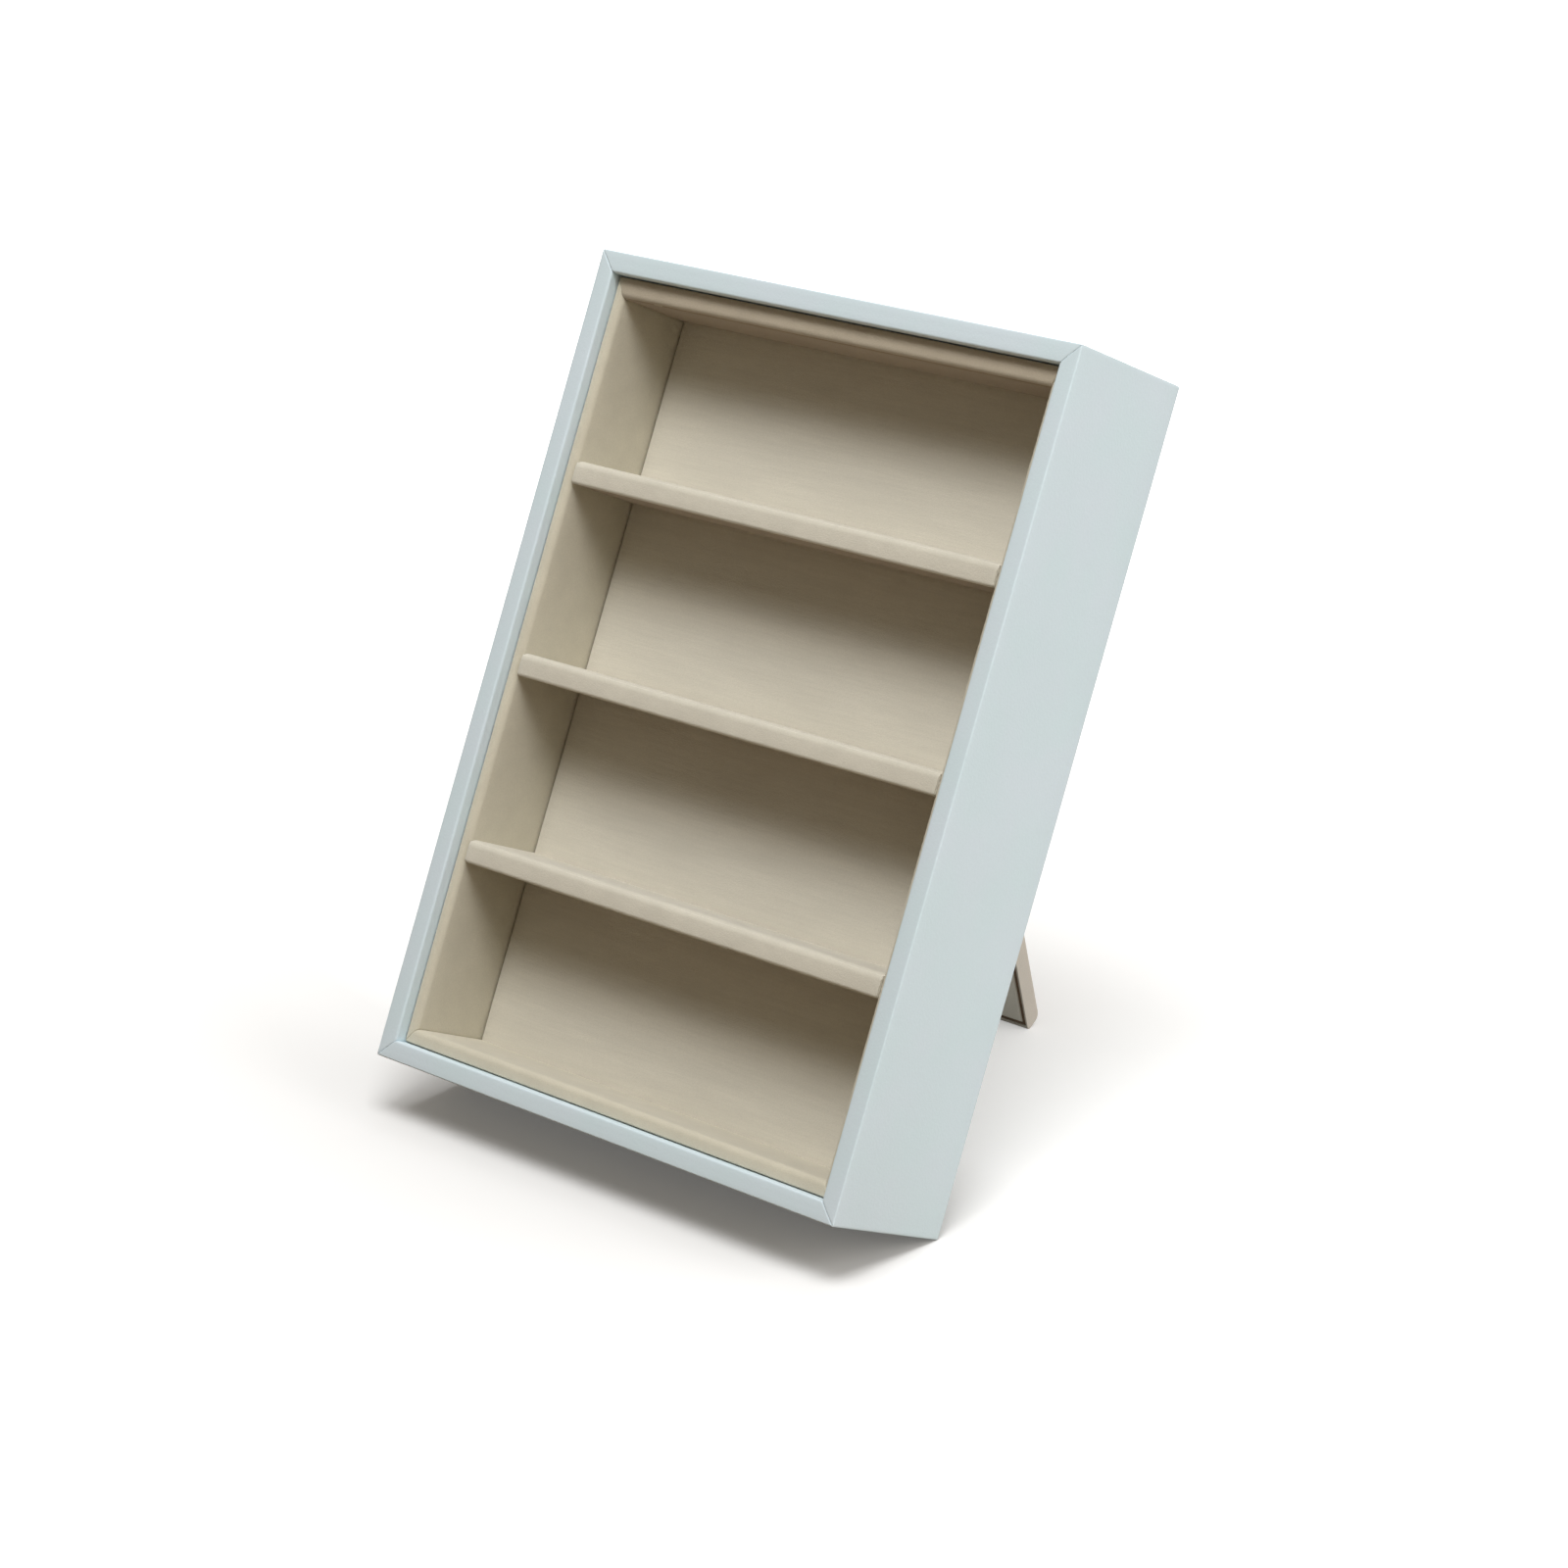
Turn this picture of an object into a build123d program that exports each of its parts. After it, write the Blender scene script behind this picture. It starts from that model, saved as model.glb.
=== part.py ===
"""Leaning sunglasses tray: a wrapped case, a lift-out suede insert and a hinged easel leg.

Everything is drawn standing, as it is used. +X is to the right, the open front faces -Y and
+Z is up. The origin lies on the table, under the middle of the whole object. The tray itself
is drawn on a leaning plane whose own coordinates are x across, s up the tray and h forward
from the plane of its back edges.
"""

import os
from math import cos, radians, sin

from build123d import *

# Posture
lean_angle = 24.4
leg_open_angle = 40.0

# Case walls: a board wrapped in leatherette
case_board = 5.0
leather = 0.9
fold_radius = 1.3

# Back of the case
back_board = 3.0
back_cover = 0.8
floor_lining = 0.6

# Compartments of the insert
cell_width = 179.6
first_cell_height = 58.0
second_cell_height = 56.6
third_cell_height = 58.4
top_cell_height = 55.8
cell_depth = 32.3

# Insert walls and dividers: thin boards and foam cores in microsuede
suede = 0.8
insert_board = 2.0
insert_bottom_board = 3.6
insert_top_board = 5.4
insert_floor = 3.5
divider_core = 6.5
divider_nose_radius = 2.6
wall_nose_radius = 1.4
cell_pad = 2.1
cell_pad_side_gap = 0.4
cell_pad_end_gap = 0.1
cell_pad_edge = 0.6

# Room round the insert in the case
side_gap = 0.35
rest_gap = 0.3
seat_gap = 0.4
top_gap = 0.8
nose_recess = 3.8

# Easel leg
leg_width = 35.0
leg_core = 6.0
leg_skin = 0.75
leg_edge_radius = 1.5
foot_front_radius = 0.8
foot_back_radius = 3.5
leg_top_radius = 1.0
leg_seam = 0.15
leg_flush_margin = 1.6

# Stopped butt hinge
hinge_height = 238.0
hinge_width = 26.0
leaf = 0.8
case_leaf_length = 18.0
leaf_to_wall = 2.0
leg_leaf_length = 22.0
leaf_corner_radius = 2.0
pin_radius = 0.8
pin_overhang = 0.6
pin_fit = 0.05
pin_chamfer = 0.3
knuckle_wall = 0.65
knuckle_gap = 0.2
middle_knuckle = 9.0
knuckle_clearance = 0.3
heel_length = 5.0
heel_thickness = 0.9
stop_gap = 0.1
leg_top_clearance = 0.5

# Rivets
rivet_radius = 1.1
rivet_head_radius = 2.0
case_rivet_head = 0.8
leg_rivet_head = 0.5
rivet_head_edge = 0.3
rivet_fit = 0.05
rivet_pitch = 15.0
rivet_first_row = 7.5
rivet_row_pitch = 6.5
rivet_blind_end = 0.5
fold_clearance = 0.3

# Sizes that follow
rim = case_board + 2 * leather
insert_wall = insert_board + 2 * suede
insert_bottom_wall = insert_bottom_board + 2 * suede
insert_top_wall = insert_top_board + 2 * suede
divider = divider_core + 2 * suede
leg_thickness = leg_core + 2 * leg_skin
knuckle_radius = pin_radius + pin_fit + knuckle_wall

insert_width = cell_width + 2 * insert_wall
cell_heights = (first_cell_height, second_cell_height, third_cell_height, top_cell_height)
dividers = len(cell_heights) - 1
cells_height = sum(cell_heights) + dividers * divider
insert_height = insert_bottom_wall + cells_height + insert_top_wall
case_width = insert_width + 2 * side_gap + 2 * rim
room_for_insert = rim + rest_gap + insert_height + top_gap
room_for_hinge = hinge_height + case_leaf_length + leaf_to_wall
case_height = max(room_for_insert, room_for_hinge) + rim

# Levels forward of the back edges
well_depth = leg_flush_margin + leg_thickness + leaf + leg_rivet_head + fold_clearance
back_board_level = well_depth + back_cover
lining_level = back_board_level + back_board
insert_level = lining_level + floor_lining + seat_gap
insert_floor_level = insert_level + insert_floor
pad_face_level = insert_floor_level + cell_pad
nose_level = pad_face_level + cell_depth
case_depth = nose_level + nose_recess

# Leaning plane, lowered a little because the fold at the bottom edge is round
lean = radians(lean_angle)
across = Vector(1, 0, 0)
up_tray = Vector(0, sin(lean), cos(lean))
forward = Vector(0, -cos(lean), sin(lean))
fold_drop = fold_radius * (1 - cos(lean) - sin(lean))

# Leg line, measured from the bottom back edge of the case
pin_level = well_depth - knuckle_radius - knuckle_gap
leg_face_level = well_depth - fold_clearance - leg_rivet_head - leaf
leg_face_offset = leg_face_level - pin_level
leg_lean = radians(leg_open_angle - lean_angle)
down_leg = Vector(0, sin(leg_lean), -cos(leg_lean))
behind_leg = Vector(0, cos(leg_lean), sin(leg_lean))
pin_from_edge = up_tray * hinge_height + forward * pin_level
foot_centre_back = foot_front_radius - leg_face_offset
pin_above_floor = fold_drop + pin_from_edge.Z
foot_drop = pin_above_floor + foot_centre_back * sin(leg_lean) - foot_front_radius
leg_length = foot_drop / cos(leg_lean) + foot_front_radius

# The origin stands midway between the foremost fold and the heel of the leg
front_reach = (up_tray * fold_radius + forward * (case_depth - fold_radius)).Y - fold_radius
heel_centre_back = leg_thickness - leg_face_offset - foot_back_radius
heel_centre = down_leg * (leg_length - foot_back_radius) + behind_leg * heel_centre_back
back_reach = pin_from_edge.Y + heel_centre.Y + foot_back_radius
edge_y = -(front_reach + back_reach) / 2
bottom_back_edge = Vector(0, edge_y, fold_drop)

tray = Plane(origin=bottom_back_edge, x_dir=across, z_dir=forward)
tray_side = Plane(origin=bottom_back_edge, x_dir=up_tray, z_dir=across)
pin_point = bottom_back_edge + pin_from_edge
hinge_side = Plane(origin=pin_point, x_dir=up_tray, z_dir=across)
leg_side = Plane(origin=pin_point, x_dir=down_leg, z_dir=across)
leg_front = Plane(origin=pin_point - behind_leg * leg_face_offset, x_dir=across, z_dir=-behind_leg)


def finish(piece, name):
    """Label a piece and write it to its own file."""
    piece.part.label = name
    export_step(piece.part, f"parts/{name}.step")


def block(x_low, x_high, y_low, y_high, mode=Mode.ADD):
    """Rectangle between two corners, in the coordinates of the open sketch."""
    with Locations(((x_low + x_high) / 2, (y_low + y_high) / 2)):
        Rectangle(x_high - x_low, y_high - y_low, mode=mode)


def slab(name, x_low, x_high, s_low, s_high, h_low, h_high):
    """Plain board between two corners of the tray."""
    with BuildPart() as board:
        with BuildSketch(tray.offset(h_low)):
            block(x_low, x_high, s_low, s_high)
        extrude(amount=h_high - h_low)
    finish(board, name)
    return board.part


def wall_boards(prefix, half_width, s_low, s_high, inset, thickness, h_low, h_high):
    """Four boards of a frame: the side boards run through and hold the other two."""
    outer = half_width - inset
    left_inner = thickness["left"] - outer
    right_inner = outer - thickness["right"]
    bottom = s_low + inset
    top = s_high - inset
    bottom_inner = bottom + thickness["bottom"]
    top_inner = top - thickness["top"]
    return [
        slab(f"{prefix}_left_board", -outer, left_inner, bottom, top, h_low, h_high),
        slab(f"{prefix}_right_board", right_inner, outer, bottom, top, h_low, h_high),
        slab(f"{prefix}_bottom_board", left_inner, right_inner, bottom, bottom_inner, h_low, h_high),
        slab(f"{prefix}_top_board", left_inner, right_inner, top_inner, top, h_low, h_high),
    ]


def mitred_frame(prefix, suffix, half_width, s_low, s_high, walls, section, boards):
    """Four skins round the boards of a frame, mitred from its outer to its inner corners.

    The section is drawn for a wall of one thickness, with x inward from the outside of the frame
    and y forward. Each side is listed with its neighbours at the far and the near end.
    """
    s_middle = (s_low + s_high) / 2
    half_height = (s_high - s_low) / 2
    sides = {
        "left": (-half_width, s_middle, across, half_height, "bottom", "top"),
        "right": (half_width, s_middle, -across, half_height, "top", "bottom"),
        "bottom": (0, s_low, up_tray, half_width, "right", "left"),
        "top": (0, s_high, -up_tray, half_width, "left", "right"),
    }
    for side, (x, s, inward, half_length, far, near) in sides.items():
        along = inward.cross(forward)
        middle = bottom_back_edge + across * x + up_tray * s
        with BuildPart() as skin:
            with BuildSketch(Plane(origin=middle, x_dir=inward, z_dir=along)):
                section(walls[side])
            extrude(amount=half_length, both=True)
            for end, neighbour in ((along, far), (-along, near)):
                facing = end * walls[side] + inward * walls[neighbour]
                mitre = Plane(origin=middle + end * half_length, z_dir=facing)
                split(bisect_by=mitre, keep=Keep.BOTTOM)
            add(boards, mode=Mode.SUBTRACT)
        finish(skin, f"{prefix}_{side}_{suffix}")


def case_wrap_section(wall):
    """Leatherette round a case board, open where the back board is glued in."""
    with Locations((wall / 2, case_depth / 2)):
        RectangleRounded(wall, case_depth, fold_radius)
    block(wall - leather, wall, back_board_level, lining_level, Mode.SUBTRACT)


def round_nose(sketch, radius):
    """Round the two foremost corners of the open sketch."""
    fillet(sketch.vertices().group_by(Axis.Y)[-1], radius)


def insert_sleeve_section(wall):
    """Suede over an insert wall, its outer flap reaching down over the floor board."""
    with BuildSketch(mode=Mode.PRIVATE) as nose:
        block(0, wall, insert_level, nose_level)
        round_nose(nose, wall_nose_radius)
    add(nose.sketch)
    block(suede, wall, insert_level, insert_floor_level, Mode.SUBTRACT)


def rivet_grid(row_middle):
    """Centres of the four rivets of one hinge leaf."""
    return [
        (x, row_middle + row)
        for x in (-rivet_pitch / 2, rivet_pitch / 2)
        for row in (-rivet_row_pitch / 2, rivet_row_pitch / 2)
    ]


def back_panel(name, inset, level, thickness, rivet_holes):
    """One full layer of the case back, pierced where the hinge is riveted on."""
    with BuildPart() as panel:
        with BuildSketch(tray.offset(level)):
            block(-case_half + inset, case_half - inset, inset, case_height - inset)
            if rivet_holes:
                with Locations(case_rivets):
                    Circle(rivet_hole_radius, mode=Mode.SUBTRACT)
        extrude(amount=thickness)
    finish(panel, name)


os.makedirs("parts", exist_ok=True)

# Places of the rivets, in the coordinates of the leaning plane and of the front of the leg
rivet_hole_radius = rivet_radius + rivet_fit
row_middle = rivet_first_row + rivet_row_pitch / 2
case_rivets = rivet_grid(hinge_height + row_middle)
leg_rivets = rivet_grid(-row_middle)

# Case
case_half = case_width / 2
board_front = case_depth - leather
case_board_sizes = dict.fromkeys(("left", "right", "bottom", "top"), case_board)
case_walls = {side: board + 2 * leather for side, board in case_board_sizes.items()}
case_boards = wall_boards("case", case_half, 0, case_height, leather, case_board_sizes,
                          leather, board_front)
mitred_frame("case", "wrap", case_half, 0, case_height, case_walls, case_wrap_section, case_boards)
back_panel("case_back_board", rim - leather, back_board_level, back_board, True)
back_panel("case_back_cover", rim, well_depth, back_cover, True)
back_panel("case_floor_lining", rim, lining_level, floor_lining, False)

# Insert
insert_half = insert_width / 2
insert_bottom = rim + rest_gap
insert_top = insert_bottom + insert_height
insert_board_sizes = {
    "left": insert_board, "right": insert_board,
    "bottom": insert_bottom_board, "top": insert_top_board,
}
insert_walls = {side: board + 2 * suede for side, board in insert_board_sizes.items()}
insert_boards = wall_boards("insert", insert_half, insert_bottom, insert_top, suede,
                            insert_board_sizes, insert_floor_level, nose_level - suede)
mitred_frame("insert", "sleeve", insert_half, insert_bottom, insert_top, insert_walls,
             insert_sleeve_section, insert_boards)
slab("insert_floor_board", -insert_half + suede, insert_half - suede,
     insert_bottom + suede, insert_top - suede, insert_level, insert_floor_level)

cell_floor = insert_bottom + insert_bottom_wall
half_cell = cell_width / 2
for number, height in enumerate(cell_heights, start=1):
    cell_top = cell_floor + height

    with BuildPart() as pad:
        with BuildSketch(tray.offset(insert_floor_level)):
            block(-half_cell + cell_pad_side_gap, half_cell - cell_pad_side_gap,
                  cell_floor + cell_pad_end_gap, cell_top - cell_pad_end_gap)
        extrude(amount=cell_pad)
        fillet(pad.faces().sort_by(Axis(tray.origin, forward))[-1].edges(), cell_pad_edge)
    finish(pad, f"cell_{number}_back_pad")

    if number <= dividers:
        core_low = cell_top + suede
        core_high = core_low + divider_core
        slab(f"divider_{number}_core", -half_cell, half_cell, core_low, core_high,
             insert_floor_level, nose_level - suede)

        with BuildPart() as sleeve:
            with BuildSketch(tray_side):
                with BuildSketch(mode=Mode.PRIVATE) as nose:
                    block(cell_top, cell_top + divider, insert_floor_level, nose_level)
                    round_nose(nose, divider_nose_radius)
                add(nose.sketch)
                block(core_low, core_high, insert_floor_level, nose_level - suede, Mode.SUBTRACT)
            extrude(amount=half_cell, both=True)
        finish(sleeve, f"divider_{number}_sleeve")

    cell_floor = cell_top + divider

# Leg: a board in a suede skin, with a lining on the side that faces the case
leg_half = leg_width / 2
leg_front_line = -leg_face_offset
leg_back_line = leg_front_line + leg_thickness
leg_top = knuckle_radius + leg_top_clearance


def draw_leg_core():
    """Side view of the leg board, rounded where the skin turns under the foot."""
    with BuildSketch(mode=Mode.PRIVATE) as core:
        block(leg_top + leg_skin, leg_length - leg_skin,
              leg_front_line + leg_skin, leg_back_line - leg_skin)
        foot_back = core.vertices().sort_by_distance((leg_length, leg_back_line))[0]
        fillet(foot_back, foot_back_radius - leg_skin)
    add(core.sketch)


with BuildPart() as leg_board:
    with BuildSketch(leg_side):
        draw_leg_core()
    extrude(amount=leg_half - leg_skin, both=True)
    with BuildSketch(leg_front.offset(-leg_skin)):
        with Locations(leg_rivets):
            Circle(rivet_hole_radius)
    extrude(amount=-(leg_core - rivet_blind_end), mode=Mode.SUBTRACT)
finish(leg_board, "leg_board")

with BuildPart() as leg_wrap:
    with BuildSketch(leg_side):
        with BuildSketch(mode=Mode.PRIVATE) as outline:
            block(leg_top, leg_length, leg_front_line, leg_back_line)
            foot_front, foot_back = outline.vertices().group_by(Axis.X)[-1].sort_by(Axis.Y)
            fillet(foot_front, foot_front_radius)
            fillet(outline.vertices().sort_by_distance(foot_back)[0], foot_back_radius)
            fillet(outline.vertices().group_by(Axis.X)[0], leg_top_radius)
        add(outline.sketch)
    extrude(amount=leg_half, both=True)
    long_edges = leg_wrap.edges().filter_by(Axis(pin_point, down_leg))
    fillet(long_edges.group_by(Axis(pin_point, behind_leg))[-1], leg_edge_radius)
    with BuildSketch(leg_side):
        draw_leg_core()
    extrude(amount=leg_half - leg_skin, both=True, mode=Mode.SUBTRACT)
    with BuildSketch(leg_front):
        block(-leg_half + leg_skin, leg_half - leg_skin, leg_skin - leg_length, -leg_top - leg_skin)
    extrude(amount=-leg_skin, mode=Mode.SUBTRACT)
finish(leg_wrap, "leg_wrap")

with BuildPart() as leg_lining:
    lining_inset = leg_skin + leg_seam
    with BuildSketch(leg_front):
        block(-leg_half + lining_inset, leg_half - lining_inset,
              lining_inset - leg_length, -leg_top - lining_inset)
        with Locations(leg_rivets):
            Circle(rivet_hole_radius, mode=Mode.SUBTRACT)
    extrude(amount=-leg_skin)
finish(leg_lining, "leg_lining")

# Hinge: the heel of the leg leaf meets the case leaf and stops the leg when it is open
hinge_half = hinge_width / 2
middle_half = middle_knuckle / 2
knuckle_room = knuckle_radius + knuckle_clearance
case_leaf_face = well_depth - pin_level - leaf
heel_face = case_leaf_face - stop_gap

with BuildPart() as case_leaf:
    with BuildSketch(hinge_side):
        block(0, case_leaf_length, case_leaf_face, case_leaf_face + leaf)
        Circle(knuckle_radius)
    extrude(amount=hinge_half, both=True)
    upright = case_leaf.edges().filter_by(Axis(pin_point, forward))
    fillet(upright.group_by(Axis(pin_point, up_tray))[-1], leaf_corner_radius)
    with BuildSketch(hinge_side):
        block(-knuckle_room, knuckle_room, -knuckle_room, knuckle_room)
    extrude(amount=middle_half + knuckle_clearance, both=True, mode=Mode.SUBTRACT)
    with BuildSketch(hinge_side):
        Circle(pin_radius + pin_fit)
    extrude(amount=hinge_half, both=True, mode=Mode.SUBTRACT)
    with BuildSketch(tray.offset(well_depth - leaf)):
        with Locations(case_rivets):
            Circle(rivet_hole_radius)
    extrude(amount=leaf, mode=Mode.SUBTRACT)
finish(case_leaf, "hinge_case_leaf")

with BuildPart() as leg_leaf:
    with BuildSketch(leg_side):
        block(knuckle_room, leg_leaf_length, leg_front_line - leaf, leg_front_line)
    extrude(amount=hinge_half, both=True)
    upright = leg_leaf.edges().filter_by(Axis(pin_point, behind_leg))
    fillet(upright.group_by(Axis(pin_point, down_leg))[-1], leaf_corner_radius)
    with BuildSketch(leg_side):
        block(0, knuckle_room, leg_front_line - leaf, leg_front_line)
        Circle(knuckle_radius)
    extrude(amount=middle_half, both=True)
    with BuildSketch(hinge_side):
        block(0, heel_length, heel_face - heel_thickness, heel_face)
    extrude(amount=middle_half, both=True)
    with BuildSketch(leg_side):
        Circle(pin_radius + pin_fit)
    extrude(amount=middle_half, both=True, mode=Mode.SUBTRACT)
    with BuildSketch(leg_front):
        with Locations(leg_rivets):
            Circle(rivet_hole_radius)
    extrude(amount=leaf, mode=Mode.SUBTRACT)
finish(leg_leaf, "hinge_leg_leaf")

with BuildPart() as pin:
    with BuildSketch(hinge_side):
        Circle(pin_radius)
    extrude(amount=hinge_half + pin_overhang, both=True)
    chamfer(pin.edges().filter_by(GeomType.CIRCLE), pin_chamfer)
finish(pin, "hinge_pin")


def rivets(name, seat, places, head_height, shank_length):
    """Four blind rivets: low round heads on the seat plane, shanks behind it."""
    with BuildPart() as group:
        with BuildSketch(seat):
            with Locations(places):
                Circle(rivet_head_radius)
        extrude(amount=head_height)
        crowns = group.faces().sort_by(Axis(seat.origin, seat.z_dir))[-len(places):]
        fillet([edge for crown in crowns for edge in crown.edges()], rivet_head_edge)
        with BuildSketch(seat):
            with Locations(places):
                Circle(rivet_radius)
        extrude(amount=-shank_length)
    finish(group, name)


case_rivet_seat = Plane(
    origin=bottom_back_edge + forward * (well_depth - leaf), x_dir=-across, z_dir=-forward
)
rivets("hinge_case_rivets", case_rivet_seat, case_rivets, case_rivet_head,
       leaf + back_cover + back_board - rivet_blind_end)
rivets("hinge_leg_rivets", leg_front.offset(leaf), leg_rivets, leg_rivet_head,
       leaf + leg_skin + leg_core - rivet_blind_end)
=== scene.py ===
"""Looks of the leaning sunglasses tray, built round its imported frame.

Metres, in the frame of the CAD model: +X to the right, the open front faces -Y and +Z is up.
The tray leans back, so its pieces are placed along its own axes: x across, s up the tray and
h forward out of it. The leg has such axes too: x across, then down the leg, then behind it.
All of them are measured from the origin of the frame, so a place is a sum along three axes.
"""

from math import cos, exp, pi, radians, sin, tan

import bmesh
import bpy
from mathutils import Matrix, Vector, noise


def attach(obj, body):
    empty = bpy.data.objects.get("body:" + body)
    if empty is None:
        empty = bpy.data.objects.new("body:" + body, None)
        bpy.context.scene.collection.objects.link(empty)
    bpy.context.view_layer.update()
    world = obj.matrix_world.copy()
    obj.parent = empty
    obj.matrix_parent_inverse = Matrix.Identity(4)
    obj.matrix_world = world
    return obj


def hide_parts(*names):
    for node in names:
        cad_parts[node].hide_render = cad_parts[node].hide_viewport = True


MM = 0.001

# Posture of the tray and of its leg
LEAN = radians(24.4)
LEG_LEAN = radians(15.6)
ACROSS = Vector((1, 0, 0))
UP_TRAY = Vector((0, sin(LEAN), cos(LEAN)))
FORWARD = Vector((0, -cos(LEAN), sin(LEAN)))
DOWN_LEG = Vector((0, sin(LEG_LEAN), -cos(LEG_LEAN)))
BEHIND_LEG = Vector((0, cos(LEG_LEAN), sin(LEG_LEAN)))
TRAY_AXES = (ACROSS, UP_TRAY, FORWARD)
LEG_AXES = (ACROSS, DOWN_LEG, BEHIND_LEG)

SIDES = ("left", "right", "bottom", "top")

# Folds and seams of the covers
CASE_FOLD = 1.3 * MM
CASE_OUTER_FOLD = 0.6 * MM
CASE_INNER_FOLD = 0.9 * MM
TOP_RIM_SWELL = 0.45 * MM
WALL_NOSE = 0.7 * MM
WALL_INNER_NOSE = 2.2 * MM
DIVIDER_NOSE = 2.6 * MM
DIVIDER_UNDER_NOSE = 1.2 * MM
INSERT_FLAP = 0.8 * MM
FLAP_EDGE = 0.2 * MM
SEAM_DEPTH = 0.16 * MM
SEAM_WIDTH = 0.3 * MM
DIVIDER_END_TUCK = 0.35 * MM
DIVIDER_END_ROUND = 0.5 * MM
PAD_EDGE = 0.6 * MM
PAD_END_EDGE = 0.05 * MM
PAD_CROWN = 0.3 * MM
PAD_END_REACH = 0.2 * MM
COVER_EDGE = 0.4 * MM
COVER_CROWN = 0.15 * MM
LEG_FOOT_BACK = 3.5 * MM
LEG_FOOT_FRONT = 0.8 * MM
LEG_TOP = 1.0 * MM
LEG_LONG_EDGE = 1.5 * MM
LEG_FRONT_EDGE = 0.35 * MM
LEG_LIP = 0.75 * MM
LEG_LIP_SLOPE = 0.05 * MM
LEG_LIP_DEPTH = 0.7 * MM
LINING_EDGE = 0.5 * MM
LINING_CROWN = 0.1 * MM
LINING_INSET = 1.6 * MM

# Distance within which two places are the same, and cosines from which a face looks one way
NEAR = 0.01 * MM
FACING = 0.9
LOOKING_OUT = 0.3

# Dents in the covers, as (depth, size), and how full and how flat the padded pieces are
CASE_DENTS = (0.12 * MM, 35 * MM)
BACK_DENTS = (0.15 * MM, 30 * MM)
SLEEVE_DENTS = (0.18 * MM, 14 * MM)
DIVIDER_DENTS = (0.3 * MM, 16 * MM)
PAD_DENTS = (0.25 * MM, 22 * MM)
DENTS_AT_JOINS = 0.25
BELLY_POWER = 4

# How finely the meshes are cut
FOLD_STEPS = 6
FACE_STEPS = 8
RIM_STEPS = 3
NARROW_STEPS = 2
STATION = 4 * MM
PAD_CELL = 3 * MM
SHARP_ANGLE = radians(38)
NEAR_SEAM = [0, 0.12 * MM, 0.25 * MM, 0.4 * MM, 0.6 * MM, 1.0 * MM, 2.0 * MM]

# The camera stands where the photograph was taken from
CAMERA_PLACE = Vector((0.8585, -0.99386, 0.58821))
CAMERA_AIM = Vector((-0.0528, 0.04764, 0.08931))
CAMERA_LENS = 97.0

# Studio light: direction it comes from, level at the tray and spread. Two softboxes stand high
# in front, one lamp shines on the right side from a little behind, and a weak one hangs above.
WHITE = (1.0, 1.0, 1.0, 1.0)
WORLD_LEVEL = 0.15
WORLD_COLOUR = (1.0, 0.85, 0.64, 1.0)
TRAY_CENTRE = Vector((0, -0.03, 0.14))
LAMP_DISTANCE = 2.3
SOFTBOXES = {
    "key": ((0.29, -0.28, 0.92), 1.9, radians(24)),
    "front": ((0.02, -0.41, 0.91), 0.95, radians(24)),
}
SUNS = {
    "side": ((0.91, 0.28, 0.29), 1.79, radians(60)),
    "top": ((0.1, 0.3, 0.95), 0.37, radians(50)),
}

# Floor: what it shows, what it throws back on the tray, and how far it is lifted towards white
# away from the tray and behind it
FLOOR_HALF = 8.0
FLOOR_CORNERS = ((-1, -1), (1, -1), (1, 1), (-1, 1))
FLOOR_LIFT = 0.1
FLOOR_LIFT_FROM = 0.12
FLOOR_WHITE_FROM = 0.9
FLOOR_WHITE = (0.8, 0.8, 0.8, 1.0)
FLOOR_BOUNCE = (0.25, 0.19, 0.13, 1.0)
BACK_FLOOR_BOUNCE = (0.55, 0.52, 0.48, 1.0)
BACK_FLOOR_LIFT = 0.33
BACK_FLOOR_FROM = -0.08
BACK_FLOOR_WHOLE = 0.0

# Colours as they look under the studio light
LEATHERETTE_COLOUR = "#D2E1E7"
SUEDE_COLOUR = "#D0CBBC"
PAD_SUEDE_COLOUR = "#D5D0C2"
# Painted shade: a darker copy of the suede for the insert's walls, for the shade on the
# compartments' side walls
SHADED_WALL_SUEDE_COLOUR = "#CCC6B3"
# Painted shade: darker suede for the front of the top wall, where the top rim's shadow falls
SHADED_TOP_SUEDE_COLOUR = "#B6AB97"
# Painted shade: darker suede for the undersides of the dividers and of the top wall
PAINTED_UNDERSIDE_SHADE_COLOUR = "#94826A"
LEG_SUEDE_COLOUR = "#D2CBC0"
# Painted light: the leg's lining is made paler, for light on its face in the shade under the case
PAINTED_LIGHT_LINING_COLOUR = "#F2EFE6"
BOARD_COLOUR = "#A79F92"
# Painted shade: dark brown for the groove round the leg's lining
PAINTED_GROOVE_SHADE_COLOUR = "#75614E"
FOAM_COLOUR = "#E6E2D6"
PAPER_COLOUR = "#DCD6C6"
STEEL_COLOUR = "#B9B6B0"

# Grain of the materials: size of the pattern, and depth of its relief. A nap is how far the
# pattern is drawn out along each axis.
LEATHERETTE_MOTTLING = 24 * MM
LEATHERETTE_SHINE = 6 * MM
LEATHERETTE_SPECKS = 0.9 * MM
LEATHERETTE_PEBBLES = (0.75 * MM, 0.03 * MM)
LEATHERETTE_GRAIN = (0.3 * MM, 0.012 * MM)
SUEDE_BRUSHING = 9 * MM
SUEDE_LOCKS = (3.5 * MM, 0.12 * MM)
SUEDE_HAIR = (0.45 * MM, 0.05 * MM)
SUEDE_STREAKS = 0.8 * MM
STREAK_NAP = (26, 1, 1)
NO_NAP = (1, 1, 1)
PAD_NAP = (5, 1, 1)
LEG_NAP = (1, 2, 2)
BOARD_FIBRES = (1.2 * MM, 0.05 * MM)
BOARD_NAP = (4, 1, 1)
FOAM_CELLS = (0.9 * MM, 0.15 * MM)
CELL_SMOOTHNESS = 0.6
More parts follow.
